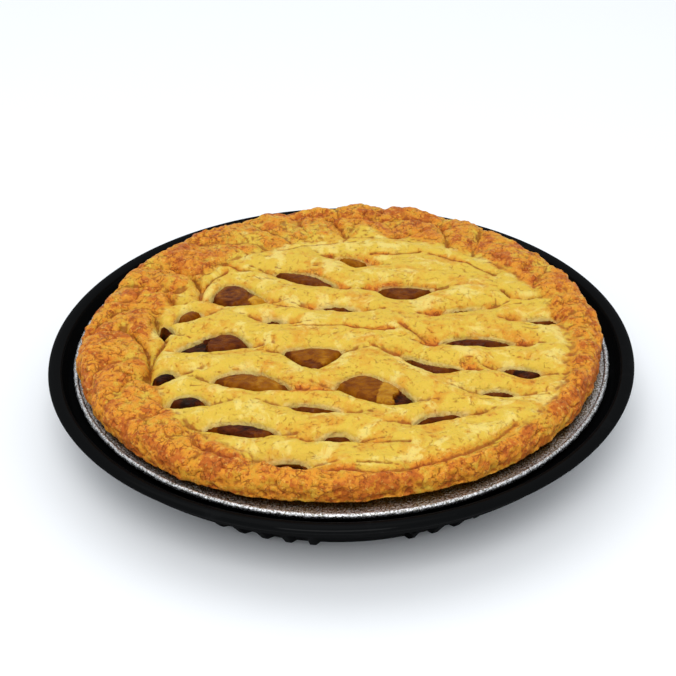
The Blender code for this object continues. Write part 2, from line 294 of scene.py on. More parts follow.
class Recipe:
    """A material's node tree, with short calls for the nodes that the finishes share."""

    def __init__(self, name: str) -> None:
        """Starts a material with a Principled shader and the object's own coordinates."""
        self.material = bpy.data.materials.new(name)
        self.material.use_nodes = True
        self.tree = self.material.node_tree
        self.shader = self.tree.nodes["Principled BSDF"]
        self.space = self.tree.nodes.new("ShaderNodeTexCoord").outputs["Object"]

    def feed(self, node: bpy.types.Node, inputs: dict[str | int, object]) -> None:
        """Gives each named input of a node a socket to link, or a constant."""
        for key, value in inputs.items():
            if isinstance(value, Socket):
                self.tree.links.new(value, node.inputs[key])
            else:
                node.inputs[key].default_value = value

    def fix(self, **values: object) -> None:
        """Feeds the shader's own inputs, with underscores for the spaces of their names."""
        self.feed(self.shader, {key.replace("_", " "): value for key, value in values.items()})

    def node(self, kind: str, inputs: dict[str | int, object], **settings: str) -> bpy.types.Node:
        """Adds a shader node.

        Args:
            kind: The node's type, without its prefix.
            inputs: What each input gets: a socket to link, or a constant.
            **settings: Values for the node's own properties.

        Returns:
            The node.
        """
        node = self.tree.nodes.new("ShaderNode" + kind)
        for key, value in settings.items():
            setattr(node, key, value)
        self.feed(node, inputs)
        return node

    def stretched(self, scale: tuple[float, float, float]) -> Socket:
        """Object coordinates stretched along each axis."""
        return self.node("Mapping", {"Scale": scale, "Vector": self.space}).outputs["Vector"]

    def noise(
        self,
        size: float,
        detail: float = 3.0,
        roughness: float = 0.55,
        distortion: float = 0.0,
        space: Socket | None = None,
    ) -> Socket:
        """Cloudy noise with blotches of one size in metres, on its own or other coordinates."""
        inputs = {"Detail": detail, "Roughness": roughness, "Distortion": distortion}
        inputs |= {"Scale": 1.0 / size, "Vector": space or self.space}
        return self.node("TexNoise", inputs).outputs["Fac"]

    def warped(self, size: float, reach: float) -> Socket:
        """Object coordinates pushed about, by up to reach, by noise of one size, both in metres."""
        noise = self.node("TexNoise", {"Scale": 1.0 / size, "Detail": 2.0, "Vector": self.space})
        inputs = {0: noise.outputs["Color"], 1: (2.0 * reach,) * 3, 2: self.space}
        return self.node("VectorMath", inputs, operation="MULTIPLY_ADD").outputs["Vector"]

    def cracks(self, size: float, space: Socket) -> Socket:
        """Distance to the edges of irregular cells of one size in metres."""
        inputs = {"Scale": 1.0 / size, "Vector": space}
        return self.node("TexVoronoi", inputs, feature="DISTANCE_TO_EDGE").outputs["Distance"]

    def cells(self, size: float, space: Socket) -> Socket:
        """One random value for each irregular cell of one size in metres."""
        return self.node("TexVoronoi", {"Scale": 1.0 / size, "Vector": space}).outputs["Color"]

    def between(self, value: Socket, low: float, high: float, top: float = 1.0) -> Socket:
        """Maps a value so that low gives 0 and high gives top, with nothing outside."""
        inputs = {"Value": value, "From Min": low, "From Max": high, "To Max": top}
        return self.node("MapRange", inputs, interpolation_type="SMOOTHSTEP").outputs["Result"]

    def kept(self, name: str) -> Socket:
        """A value kept on the piece's points."""
        return self.node("Attribute", {}, attribute_name=name).outputs["Fac"]

    def add(self, one: Socket, two: Socket | float, operation: str = "ADD") -> Socket:
        """Adds two values, or does the other arithmetic that operation names."""
        return self.node("Math", {0: one, 1: two}, operation=operation).outputs[0]

    def times(self, one: Socket, two: Socket | float) -> Socket:
        """Multiplies two values."""
        return self.add(one, two, "MULTIPLY")

    def larger(self, one: Socket, two: Socket | float) -> Socket:
        """The larger of two values."""
        return self.add(one, two, "MAXIMUM")

    def ramp(self, value: Socket, *stops: tuple[float, Colour]) -> Socket:
        """Turns a value into a colour.

        Args:
            value: The value's socket.
            *stops: Places on the ramp from 0 to 1, and their colours.

        Returns:
            The colour's socket.
        """
        node = self.node("ValToRGB", {"Fac": value})
        elements = node.color_ramp.elements
        for element, (spot, colour) in zip(elements, (stops[0], stops[-1])):
            element.position = spot
            element.color = (*colour, 1.0)
        for spot, colour in stops[1:-1]:
            elements.new(spot).color = (*colour, 1.0)
        return node.outputs["Color"]

    def mixed(self, share: Socket, base: Socket, over: Colour) -> Socket:
        """Lays one colour over another, as far as share says."""
        return self.node("Mix", {0: share, 6: base, 7: (*over, 1.0)}, data_type="RGBA").outputs[2]

    def bump(self, height: Socket, depth: float, strength: float = 0.8) -> None:
        """Raises fine relief over what is there already.

        Args:
            height: The relief's socket, from 0 to 1.
            depth: How high 1 stands, in metres.
            strength: The Bump node's strength.
        """
        inputs = {"Distance": depth, "Strength": strength, "Height": height}
        normal = self.shader.inputs["Normal"]
        if normal.is_linked:
            inputs["Normal"] = normal.links[0].from_socket
        self.fix(Normal=self.node("Bump", inputs).outputs["Normal"])


@dataclass(frozen=True)
class PastryFinish:
    """Baked pastry: golden where smooth, browned where it stood high in the oven, cracked and flaky,
    with painted shade in its hollows and creases.
    """

    golden: Colour = linear(221, 184, 62)
    amber: Colour = linear(216, 152, 40)
    brown: Colour = linear(224, 144, 36)
    toasted: Colour = linear(190, 98, 22)
    dough: Colour = linear(255, 228, 146)
    crack_and_shade: Colour = linear(138, 58, 10)
    flake: Colour = linear(236, 190, 88)
    cream: Colour = linear(236, 212, 116)

    def material(self) -> Finish:
        """Builds the material."""
        recipe = Recipe("pastry")
        noise, between, add, times = recipe.noise, recipe.between, recipe.add, recipe.times
        browning, raw, hollow = [recipe.kept(name) for name in ("browning", "dough", "hollow")]
        # Blotches, and layers of flaky plates where the pastry is browned
        wide = between(noise(12 * MM, 3.0, 0.55), 0.32, 0.68, 0.42)
        fine = between(noise(3.0 * MM, 3.0, 0.65, 0.8), 0.3, 0.7, 0.22)
        plates = between(recipe.cells(7.5 * MM, recipe.warped(4.0 * MM, 4.5 * MM)), 0.2, 0.8, 0.4)
        shards = between(recipe.cells(2.6 * MM, recipe.warped(2.4 * MM, 1.8 * MM)), 0.2, 0.8, 0.28)
        crusty = between(browning, 0.12, 0.42)
        layers = times(add(add(plates, shards), -0.32), crusty)
        mottled = add(add(add(browning, add(wide, fine)), -0.33), layers)
        veins = recipe.cracks(3.6 * MM, recipe.warped(2.0 * MM, 1.2 * MM))
        where = between(noise(2.8 * MM, 2.0), 0.53, 0.63)
        mottled = add(mottled, times(between(veins, 0.2, 0.0, 0.24), where))
        colour = recipe.ramp(
            mottled,
            (0.0, self.golden),
            (0.36, self.amber),
            (0.66, self.brown),
            (1.0, self.toasted),
        )
        # Pale places: where the strands lie low, on flakes, and the dough in the slits
        pale = between(noise(11 * MM, 4.0, 0.65, 0.5), 0.5, 0.64, 0.8)
        colour = recipe.mixed(times(pale, between(browning, 0.34, 0.1)), colour, self.cream)
        flakes = between(noise(1.7 * MM, 4.0, 0.7, 0.6), 0.52, 0.66, 0.6)
        colour = recipe.mixed(times(flakes, between(hollow, 0.55, 0.2)), colour, self.flake)
        floury = add(between(noise(2.2 * MM, 3.0, 0.6), 0.36, 0.6, 0.55), 0.45)
        colour = recipe.mixed(times(floury, raw), colour, self.dough)
        # Dark places: hairlines, torn seams and pits, and painted shade in the fine hollows
        lines = times(between(veins, 0.036, 0.0), where)
        torn = recipe.cracks(6.0 * MM, recipe.warped(4.5 * MM, 4.0 * MM))
        torn = times(between(torn, 0.07, 0.0), crusty)
        torn = times(torn, between(noise(6.0 * MM, 3.0), 0.42, 0.66, 0.8))
        lines = recipe.larger(lines, torn)
        baked = add(between(browning, 0.1, 0.5, 0.6), 0.3)
        pits = between(noise(1.1 * MM, 3.0, 0.75, 0.5), 0.58, 0.7)
        dark = times(recipe.larger(lines, pits), baked)
        # Painted shade: the fine hollows get the dark crack colour
        dark = recipe.larger(dark, between(hollow, 0.56, 1.0, 0.7))
        colour = recipe.mixed(times(dark, between(raw, 0.6, 0.1)), colour, self.crack_and_shade)
        recipe.fix(Base_Color=colour, Roughness=0.56, Specular_IOR_Level=0.22)
        recipe.fix(Subsurface_Weight=0.08, Subsurface_Radius=(1.0, 0.5, 0.2), Subsurface_Scale=0.001)
        recipe.bump(noise(3.0 * MM, 5.0, 0.65), 1.2 * MM)
        recipe.bump(layers, 1.8 * MM)
        recipe.bump(between(lines, 0.7, 0.0), 0.5 * MM)
        return recipe.material


@dataclass(frozen=True)
class AppleFinish:
    """Cooked apple in syrup: wet and translucent, from dark red brown to gold."""

    dark: Colour = linear(32, 10, 2)
    red: Colour = linear(86, 34, 3)
    brown: Colour = linear(122, 63, 2)
    tan: Colour = linear(150, 90, 5)
    gold: Colour = linear(204, 150, 42)

    def material(self) -> Finish:
        """Builds the material."""
        recipe = Recipe("apple_filling")
        streaks = recipe.noise(5 * MM, 4.0, 0.6, 0.6, recipe.stretched((1.0, 2.2, 1.0)))
        tint = recipe.add(recipe.kept("tint"), recipe.between(streaks, 0.3, 0.7, 0.24))
        colour = recipe.ramp(
            recipe.add(tint, -0.12),
            (0.0, self.dark),
            (0.22, self.red),
            (0.45, self.brown),
            (0.65, self.tan),
            (1.0, self.gold),
        )
        recipe.fix(Base_Color=colour, Roughness=0.28, Specular_IOR_Level=0.04)
        recipe.fix(Coat_Weight=0.06, Coat_Roughness=0.05)
        recipe.fix(Subsurface_Weight=0.08, Subsurface_Radius=(1.0, 0.4, 0.1), Subsurface_Scale=0.001)
        recipe.bump(recipe.noise(1.6 * MM, 4.0, 0.65), 0.8 * MM)
        return recipe.material


@dataclass(frozen=True)
class FoilFinish:
    """Pressed aluminium foil, dulled by a film of baked fat on the flange, which is also darkened there
    as painted shade under the pie's border.
    """

    bright: Colour = (0.78, 0.78, 0.79)
    dull: Colour = (0.15, 0.135, 0.095)
    fat: Colour = linear(134, 108, 50)

    def material(self) -> Finish:
        """Builds the material."""
        recipe = Recipe("aluminium_foil")
        grains = recipe.noise(0.8 * MM, 2.0, 0.7)
        fat_and_shade = recipe.kept("film")
        # Baked fat and painted shade: where the film lies, the flange is darkened and then tinted with
        # fat
        tone = recipe.add(grains, recipe.times(fat_and_shade, -0.14))
        colour = recipe.ramp(tone, (0.36, self.dull), (0.56, self.bright))
        patchy = recipe.add(recipe.between(recipe.noise(9 * MM, 3.0, 0.6), 0.36, 0.62, 0.55), 0.4)
        colour = recipe.mixed(recipe.times(fat_and_shade, patchy), colour, self.fat)
        roughness = recipe.add(recipe.between(grains, 0.3, 0.7, 0.2), 0.22)
        recipe.fix(Base_Color=colour, Metallic=1.0, Roughness=roughness)
        recipe.bump(recipe.noise(1.1 * MM, 3.0, 0.7), 0.5 * MM, 0.9)
        return recipe.material


@dataclass(frozen=True)
class PlasticFinish:
    """Glossy black moulded plastic with faint scuffs."""

    black: Colour = (0.003, 0.0032, 0.0034)
    scuff: Colour = (0.008, 0.008, 0.0085)

    def material(self) -> Finish:
        """Builds the material."""
        recipe = Recipe("black_plastic")
        worn = recipe.between(recipe.noise(14 * MM, 5.0, 0.7), 0.55, 0.75, 0.6)
        roughness = recipe.add(recipe.between(recipe.noise(22 * MM, 4.0), 0.3, 0.7, 0.1), 0.14)
        colour = recipe.ramp(worn, (0.0, self.black), (1.0, self.scuff))
        recipe.fix(Base_Color=colour, Roughness=roughness)
        recipe.fix(Specular_IOR_Level=0.0, Coat_Weight=0.07, Coat_Roughness=0.08)
        recipe.bump(recipe.noise(30 * MM, 2.0), 0.5 * MM, 0.25)
        return recipe.material


# Form of the pastry


def bow(share: np.ndarray, apex: np.ndarray | float) -> np.ndarray:
    """How far a slit's edge stands out: 0 at its tips, where share is 0 or 1, and 1 at the apex."""
    t = np.where(share < apex, share / apex, (1.0 - share) / (1.0 - apex))
    return np.sin(0.5 * math.pi * np.clip(t, 0.0, 1.0)) ** 1.15


@dataclass(frozen=True)
class Slit:
    """An opening of the braid, in millimetres and degrees.

    Its back edge stands out by rise and its front edge by fall, most at rise_at and fall_at of its
    length. Toast is how much the strand behind it is browned.
    """

    x: float
    y: float
    length: float
    tilt: float
    rise: float
    fall: float
    rise_at: float = 0.5
    fall_at: float = 0.5
    toast: float = 0.0

    def spread(self, along: np.ndarray, out: np.ndarray) -> tuple[np.ndarray, np.ndarray]:
        """Turns distances along and across the slit, in metres, into places."""
        tilt = math.radians(self.tilt)
        x = self.x * MM + along * math.cos(tilt) - out * math.sin(tilt)
        y = self.y * MM + along * math.sin(tilt) + out * math.cos(tilt)
        return x, y

    def edges(self, share: np.ndarray) -> list[np.ndarray]:
        """How far the back and front edges stand out, in metres, at shares of the length."""
        ways = ((self.rise, self.rise_at), (-self.fall, self.fall_at))
        return [reach * MM * bow(share, apex) for reach, apex in ways]


@dataclass(frozen=True)
class Crease:
    """A line where two strands or folds meet, in millimetres, with its depth and half-width. Its toast
    is browning painted along it, partly as painted shade in the crease.
    """

    points: tuple[tuple[float, float], ...]
    depth: float
    width: float
    toast: float = 0.0


@dataclass(frozen=True)
class Patch:
    """A browner or paler patch of the pastry, in millimetres."""

    x: float
    y: float
    across: float
    deep: float
    amount: float


# From the back row to the front row
SLITS = tuple(
    Slit(*row)
    for row in (
        (6, 59, 22, -24, 1.6, 5.0, 0.5, 0.7, 0.9), (-17, 41, 38, -24, 4.5, 5.0, 0.5, 0.5, 1.0),
        (31, 31, 31, 0, 0.5, 11.0, 0.5, 0.47, 1.0), (-47, 23, 28, -8, 13.5, 5.5, 0.26, 0.3, 0.5),
        (-1, 13, 25, -9, 2.0, 2.0, 0.5, 0.65, 0.6), (57, 11, 25, 13, 1.7, 1.5, 0.5, 0.5, 1.0),
        (-70, 8, 15, 22, 6.0, 1.5, 0.65, 0.5, 0.4), (-30, 4, 15, -16, 1.1, 2.3, 0.5, 0.5, 0.2),
        (-80, 1, 12, -38, 1.8, 3.0, 0.3, 0.7), (92, 4, 21, 6, -0.2, 5.0, 0.5, 0.5, 0.4),
        (-57.5, -17, 36, 1, 10.5, 3.5, 0.66, 0.33, 0.3), (61, -17, 40, -1, 4.5, 2.6, 0.5, 0.6, 0.8),
        (-12.5, -21.5, 30, -2, 1.5, 14.0, 0.5, 0.55), (40, -30, 36, -20, -3.0, 9.0, 0.5, 0.55, 0.8),
        (78, -37.5, 23, -10, 0.7, 6.0, 0.5, 0.7, 0.2), (-77, -38.5, 14, 14, 2.8, 4.4, 0.55, 0.3),
        (-38.5, -46, 39, -13, 8.0, 5.0, 0.4, 0.45, 0.2), (67, -54, 22, -6, 1.0, 3.4, 0.5, 0.5, 0.2),
        (14, -54, 37, -14, 11.0, 8.0, 0.34, 0.73, 0.2), (-65.5, -58.5, 20, -2, 5.2, 3.0),
        (-12, -63.5, 31, -10, 0.8, 4.0), (42, -72, 28, 12, 2.7, 2.5, 0.45, 0.3, 0.3),
        (-42, -78, 37, -9, 4.2, 3.8, 0.48, 0.6), (-2, -86, 20, -2, 3.6, 1.0, 0.5, 0.5, 0.1),
        (-22, -99.5, 20, -7, 0.6, 4.0, 0.5, 0.6, 0.2),
    )
)

CREASES = tuple(
    Crease(*row)
    for row in (
        (((-82, 55), (-74, 48), (-69, 42), (-66, 33), (-66, 24)), 2.8, 1.7, 0.2),
        (((-66, 31), (-64, 36), (-61, 42), (-55, 48)), 2.4, 1.7, 0.1),
        (((-96, 35), (-90, 32), (-84, 31), (-80, 27), (-78, 22), (-73, 21)), 2.6, 1.6, 0.2),
        (((-86, 12), (-84, 5), (-81, -3), (-79, -8)), 3.0, 1.8),
        (((-99, -2), (-93, -7), (-90, -13), (-86, -20), (-84, -30), (-84, -45)), 2.8, 1.6, 0.1),
        (((-79, -9), (-81, -16), (-83, -23), (-84, -30)), 2.8, 1.9),
        (((-113, -3), (-105, -4), (-99, -3)), 1.2, 1.5, 0.2),
        (((-112, 22), (-104, 21), (-96, 24), (-94, 32)), 1.0, 1.5, 0.3),
        (((-106, -27), (-98, -28), (-89, -32), (-85, -33)), 1.0, 2.2, 0.4),
        (((-91, -81), (-90, -72), (-82, -71), (-75, -67)), 1.4, 1.8, 0.5),
        (((-29, 104), (-10, 104), (9, 100), (27, 99), (35, 101), (47, 95), (54, 88)), 1.8, 1.7, 0.9),
        (((-12, 102), (-3, 98), (1, 91), (3, 82)), 1.6, 1.4, 0.6),
        (((2, 75), (6, 89), (12, 97)), 0.8, 1.2, 0.2), (((28, 80), (35, 82), (42, 84)), 2.0, 1.2, 0.6),
        (((77, 26), (80, 20), (86, 19), (94, 22)), 2.0, 1.5, 0.3),
        (
            ((-64, -79), (-59, -90), (-51, -96), (-41, -100), (-29, -103), (-15, -105),
            (-1, -106)),
            1.7, 1.8, 0.9,
        ),
        (((-1, -106), (13, -108), (30, -104), (49, -97), (63, -87), (71, -79)), 1.5, 2.0, 0.7),
        (((114, 13), (116, -20), (110, -42), (95, -72), (76, -93)), 1.1, 1.3, 0.8),
        (((2, -4), (13, -8), (24, -9)), 1.2, 1.2, 0.6),
        (((27, -4), (35, -12), (43, -20)), 1.3, 1.4, 0.6),
        (((-33, 18), (-25, 13), (-14, 11)), 1.0, 1.2, 0.2),
        (((-37, 3), (-27, -1), (-14, -4), (2, -4)), 0.9, 1.2, 0.2),
        (((-57, -63), (-51, -57)), 1.4, 1.0, 0.1), (((-21, -54), (-4, -53)), 1.1, 1.2, 0.4),
        (((8, -89), (27, -91)), 0.8, 1.0, 0.2), (((6, -103), (30, -104)), 0.9, 1.0, 0.5),
        (((-58, 57), (-48, 49), (-34, 47)), 1.3, 1.5, 0.3),
        (((16, 63), (27, 61), (40, 63)), 1.0, 1.2, 0.5), (((69, 11), (84, 14)), 0.9, 1.2, 0.2),
        (((77, -58), (88, -57)), 0.9, 1.1, 0.1), (((-30, 67), (-12, 73), (8, 75)), 0.8, 1.6, 0.2),
        (((45, 61), (60, 53), (74, 41)), 0.9, 1.6, 0.4),
    )
)

PATCHES = tuple(
    Patch(*row)
    for row in (
        (-23, -46, 9, 6, 0.55), (-14, -52, 8, 4, 0.5), (-33, -35, 7, 4, 0.35), (28, 31, 17, 3, 0.7),
        (-20, 46, 14, 3, 0.75), (5, 60, 12, 4, 0.55), (57, -33, 6, 4, 0.6), (81, -50, 7, 4, 0.6),
        (11, -20, 8, 7, 0.45), (74, -12, 8, 4, 0.5), (42, -1, 5, 5, 0.35), (-6, -76, 4, 3, 0.35),
        (14, -97, 5, 3, 0.35), (50, -72, 10, 3, 0.35), (-50, 30, 10, 6, 0.35), (23, 105, 10, 3, 0.7),
        (-6, 107, 6, 3, 0.5), (47, 100, 5, 3, 0.5), (56, 86, 6, 5, 0.4), (73, 73, 8, 4, 0.8),
        (82, 56, 6, 5, 0.8), (94, 33, 7, 6, 0.5), (102, 6, 5, 12, 0.4), (-89, 48, 8, 7, 0.35),
        (-73, 69, 7, 5, 0.5), (-59, 87, 6, 5, 0.6), (-43, 97, 6, 4, 0.4), (-106, 5, 6, 12, 0.3),
        (-111, -40, 5, 15, 0.45), (-101, -66, 6, 12, 0.35), (-85, -81, 6, 7, 0.35),
        (-51, -103, 8, 5, 0.5), (-33, -114, 9, 7, 0.4), (1, -117, 18, 7, 0.25), (68, 51, 5, 5, -0.2),
        (-45, 83, 10, 4, -0.4), (39, 50, 14, 4, -0.3), (-8, 79, 24, 8, -0.45), (30, 71, 22, 7, -0.35),
        (14, 85, 6, 6, -0.9),
    )
)


# How far the pastry reaches, in millimetres, every ten degrees from the right by way of the back
EDGE = (
    *(119.3, 118.1, 117.8, 117.1, 116.2, 117.4, 117.7, 118.6, 118.6, 116.3, 114.6, 115.0),
    *(113.8, 116.7, 114.5, 115.0, 114.5, 114.8, 117.7, 119.8, 118.7, 119.3, 119.3, 118.7),
    *(118.8, 117.6, 116.7, 115.7, 114.9, 115.8, 116.1, 116.9, 116.2, 117.6, 117.0, 118.2),
)


@dataclass
class Pastry:
    """The baked pastry: a braided lid with a rolled border, over a base that lines the tin.

    Heights are above the tin's curled edge, which the frame gives.
    """

    tin_rim: float
    radius: float = 117.5 * MM
    slab: float = 13.0 * MM
    lid: float = 4.4 * MM
    recess: float = 104.0 * MM
    edge_rise: float = 12.0 * MM
    crown: float = 2.5 * MM
    braid_x: float = 8.0 * MM
    braid_y: float = -14.0 * MM
    braid_radius: float = 94.0 * MM
    voxel: float = 0.88 * MM
    most_faces: int = 95000
    fold_share: float = 1.7
    flare: float = 1.7 * MM
    pillow_depth: float = 3.0 * MM
    pillow_reach: float = 5.6 * MM
    groove_depth: float = 1.3 * MM
    groove_reach: float = 3.2 * MM
    border_rise: float = 12.9 * MM
    fold_height: float = 4.4 * MM
    folds: float = 12.0
    crimp_height: float = 0.8 * MM
    crimps: float = 58.0

    def edge(self, angle: np.ndarray) -> np.ndarray:
        """How far the pastry reaches in a direction."""
        turn = np.degrees(angle) % 360.0
        return np.interp(turn, np.linspace(0.0, 360.0, len(EDGE) + 1), (*EDGE, EDGE[0])) * MM

    def braid_edge(self, angle: np.ndarray) -> np.ndarray:
        """How far the braid reaches in a direction, before the border starts."""
        toward = self.braid_x * np.cos(angle) + self.braid_y * np.sin(angle)
        return toward + np.sqrt(self.braid_radius**2 - self.braid_x**2 - self.braid_y**2 + toward**2)

    def dome(self, radius: np.ndarray) -> np.ndarray:
        """Height of the smooth lid over the tin's edge."""
        return self.edge_rise + self.crown * (1.0 - (radius / (105.0 * MM)) ** 2)

    def cutter(self, slit: Slit) -> Piece:
        """A lens-shaped cutter for one slit, wider at the top where the strands round over.

        Args:
            slit: The slit.

        Returns:
            The cutter.
        """
        deselect_all()
        bpy.ops.mesh.primitive_cylinder_add(vertices=28, radius=1.0, depth=2.0)
        cutter = named_piece("cutter")
        unit = places(cutter)
        around = np.arctan2(unit[:, 1], unit[:, 0])
        share = 0.5 * (1.0 + np.cos(around))
        upper = np.sin(around) >= -1e-6
        flare = np.where(unit[:, 2] > 0.0, self.flare, -0.2 * MM)
        fall = max(slit.fall - 1.0, 0.7 * slit.fall)
        reach = np.where(upper, slit.rise * MM + flare, -fall * MM - flare)
        along = (share - 0.5) * (slit.length * MM + 2.0 * flare)
        x, y = slit.spread(along, bow(share, np.where(upper, slit.rise_at, slit.fall_at)) * reach)
        z = np.where(unit[:, 2] > 0.0, self.slab + 1.0 * MM, self.slab - self.lid - 2.5 * MM)
        place(cutter, np.stack([x, y, z], axis=1))
        return cutter

    def cut_slab(self) -> Piece:
        """The pastry's top as a flat slab, with a recess underneath and the slits cut through."""
        deselect_all()
        bpy.ops.mesh.primitive_cylinder_add(
            vertices=192, radius=self.radius, depth=self.slab, location=(0, 0, 0.5 * self.slab)
        )
        slab = named_piece("pastry_top")
        bpy.ops.object.transform_apply()
        select_points(slab, places(slab)[:, 2] < 0.1 * MM)
        bpy.ops.mesh.inset(thickness=self.radius - self.recess)
        bpy.ops.transform.translate(value=(0, 0, self.slab - self.lid))
        bpy.ops.object.mode_set(mode="OBJECT")
        select_points(slab, places(slab)[:, 2] > self.slab - 0.1 * MM)
        bpy.ops.mesh.bevel(offset=7.0 * MM, segments=6, affect="EDGES")
        bpy.ops.object.mode_set(mode="OBJECT")
        cutters = [self.cutter(slit) for slit in SLITS]
        activate(cutters[0])
        for cutter in cutters:
            cutter.select_set(True)
        bpy.ops.object.join()
        joined = bpy.context.object
        modify(slab, "BOOLEAN", operation="DIFFERENCE", object=joined, solver="EXACT", use_self=True)
        bpy.data.objects.remove(joined, do_unlink=True)
        modify(slab, "REMESH", mode="VOXEL", voxel_size=self.voxel)
        modify(slab, "SMOOTH", factor=0.5, iterations=5)
        return slab

    def line_tree(self, lines: list[np.ndarray]) -> KDTree:
        """A search tree of points every half millimetre along some lines.

        Args:
            lines: Corner points of each line, one row each.

        Returns:
            The balanced tree, whose indexes count the lines.
        """
        stations = []
        for number, corners in enumerate(lines):
            for start, end in zip(corners, corners[1:]):
                count = max(2, int(np.linalg.norm(end - start) / (0.5 * MM)))
                for t in np.linspace(0.0, 1.0, count):
                    stations.append((start + t * (end - start), number))
        tree = KDTree(len(stations))
        for point, number in stations:
            tree.insert((point[0], point[1], 0.0), number)
        tree.balance()
        return tree

    def slit_line(self, slit: Slit, back_only: bool = False) -> np.ndarray:
        """Points round a slit, or along its back edge.

        Args:
            slit: The slit.
            back_only: Whether the front edge is left out.

        Returns:
            The points, one row each.
        """
        shares = 0.5 - 0.5 * np.cos(np.linspace(0.0, math.pi, 15))
        along = (shares - 0.5) * slit.length * MM
        back, front = [np.stack(slit.spread(along, out), axis=1) for out in slit.edges(shares)]
        return back if back_only else np.concatenate([back, front[::-1]])

    def tails(self) -> list[Crease]:
        """Shallow valleys that run on from both ends of each slit."""
        made = []
        for slit in SLITS:
            tilt = math.radians(slit.tilt)
            for side in (-1.0, 1.0):
                ends = []
                for past in (-1.0, 4.5, 9.0):
                    along = side * (0.5 * slit.length + past)
                    ends.append((slit.x + along * math.cos(tilt), slit.y + along * math.sin(tilt)))
                made.append(Crease((ends[0], ends[1]), 1.5, 2.2, 0.3 * slit.toast))
                made.append(Crease((ends[1], ends[2]), 0.8, 2.0, 0.2 * slit.toast))
        return made

    def creased(self, flat: np.ndarray) -> tuple[np.ndarray, np.ndarray]:
        """How deep the creases are at each place, and how much they are browned, which is partly
        painted shade in them.

        Args:
            flat: The places, whose heights don't count.

        Returns:
            The depths in metres, and the browning from 0 to 1, partly painted shade.
        """
        depth, toast = np.zeros(len(flat)), np.zeros(len(flat))
        for crease in (*CREASES, *self.tails()):
            corners = np.array(crease.points) * MM
            margin = 4.5 * crease.width * MM
            low, high = corners.min(axis=0) - margin, corners.max(axis=0) + margin
            near = np.flatnonzero(np.all((flat[:, :2] > low) & (flat[:, :2] < high), axis=1))
            spots = flat[near, :2]
            gap = np.full(len(near), margin)
            for start, end in zip(corners, corners[1:]):
                run = end - start
                t = np.clip((spots - start) @ run / (run @ run), 0.0, 1.0)
                gap = np.minimum(gap, np.linalg.norm(spots - start - t[:, None] * run, axis=1))
            fall = np.exp(-((gap / (crease.width * MM)) ** 1.2)) - math.exp(-(4.5**1.2))
            depth[near] = np.maximum(depth[near], crease.depth * MM * fall)
            # Browning along the crease, partly painted shade in it
            tint = crease.toast * np.exp(-((gap / (crease.width * 1.2 * MM)) ** 2))
            toast[near] = np.maximum(toast[near], tint)
        return depth, toast

    def reach_to(self, tree: KDTree, flat: np.ndarray) -> tuple[np.ndarray, np.ndarray]:
        """How far each place is from the nearest line of a tree, and that line's number."""
        found = [tree.find((x, y, 0.0)) for x, y in flat[:, :2]]
        return np.array([f[2] for f in found]), np.array([f[1] for f in found])

    def lobes(self, x: np.ndarray, y: np.ndarray, angle: np.ndarray, width: np.ndarray) -> np.ndarray:
        """Puffed folds of the border, where it is wide, and shallow crimps where it is narrow."""
        inward = self.edge(angle) - np.hypot(x, y)
        wander = 0.5 * np.sin(3.0 * angle + 1.0) + 0.35 * np.sin(7.0 * angle)
        swirl = lumps(np.stack([x, y, 0.0 * x], axis=1), 26 * MM, 19)
        folds = np.sin(self.folds * angle + 52.0 * inward + 2.0 * wander + 1.6 * swirl)
        crimps = np.cos(self.crimps * angle + 4.0 * wander)
        behind = np.exp(-(((angle - math.radians(95.0)) / math.radians(40.0)) ** 2))
        wide = smooth_step(width, 14 * MM, 30 * MM) * (1.0 - 0.45 * behind)
        puffed = np.abs(folds) ** 0.45
        return wide * self.fold_height * (puffed - 0.85) + (1.0 - wide) * self.crimp_height * crimps

    def shape(self, slab: Piece) -> None:
        """Turns the flat slab into the baked pastry, and keeps its browning for the material.

        Args:
            slab: The cut slab.
        """
        points = places(slab)
        x, y, z = points.T
        radius, angle = polar(points)
        pull = smooth_step(radius, 80 * MM, self.radius)
        ragged = 1.1 * MM * lumps(points * [1, 1, 0.4], 9 * MM, 1) + 0.5 * MM * lumps(points, 3 * MM, 2)
        stretch = 1.0 + pull * (self.edge(angle) + ragged - self.radius) / self.radius
        x, y = x * stretch, y * stretch
        radius = np.hypot(x, y)
        flat = np.stack([x, y, np.zeros_like(x)], axis=1)
        inward = self.edge(angle) - radius
        past_braid = radius - self.braid_edge(angle)
        border = smooth_step(past_braid, -2.5 * MM, 4 * MM)
        slit_gap, _ = self.reach_to(self.line_tree([self.slit_line(s) for s in SLITS]), flat)
        folded, toasted = self.creased(flat)
        pillow = self.pillow_depth * np.exp(-((slit_gap / self.pillow_reach) ** 1.15)) * (1.0 - border)
        groove = self.groove_depth * np.exp(-((past_braid / self.groove_reach) ** 2))
        lumpy = 0.8 * MM * lumps(flat, 16 * MM, 3) + 0.5 * MM * lumps(flat, 7 * MM, 4)
        lumpy += (0.45 - 0.2 * border) * MM * lumps(flat * [0.4, 1.0, 1.0], 4.2 * MM, 10)
        rolled = self.border_rise + self.lobes(x, y, angle, self.edge(angle) - self.braid_edge(angle))
        top = self.dome(radius) * (1.0 - border) + rolled * border + lumpy - groove - pillow
        top -= self.fold_share * folded
        share = np.clip(z / self.slab, 0.0, 1.0)
        carried = np.where(radius < self.recess + 2 * MM, smooth_step(share, 0.0, 0.4), share)
        height = 0.4 * MM + z + carried * (top - self.slab)
        place(slab, np.stack([x, y, self.tin_rim + height], axis=1))
        self.roughen(slab, border)
        self.brown(slab, border, inward, slit_gap, toasted)

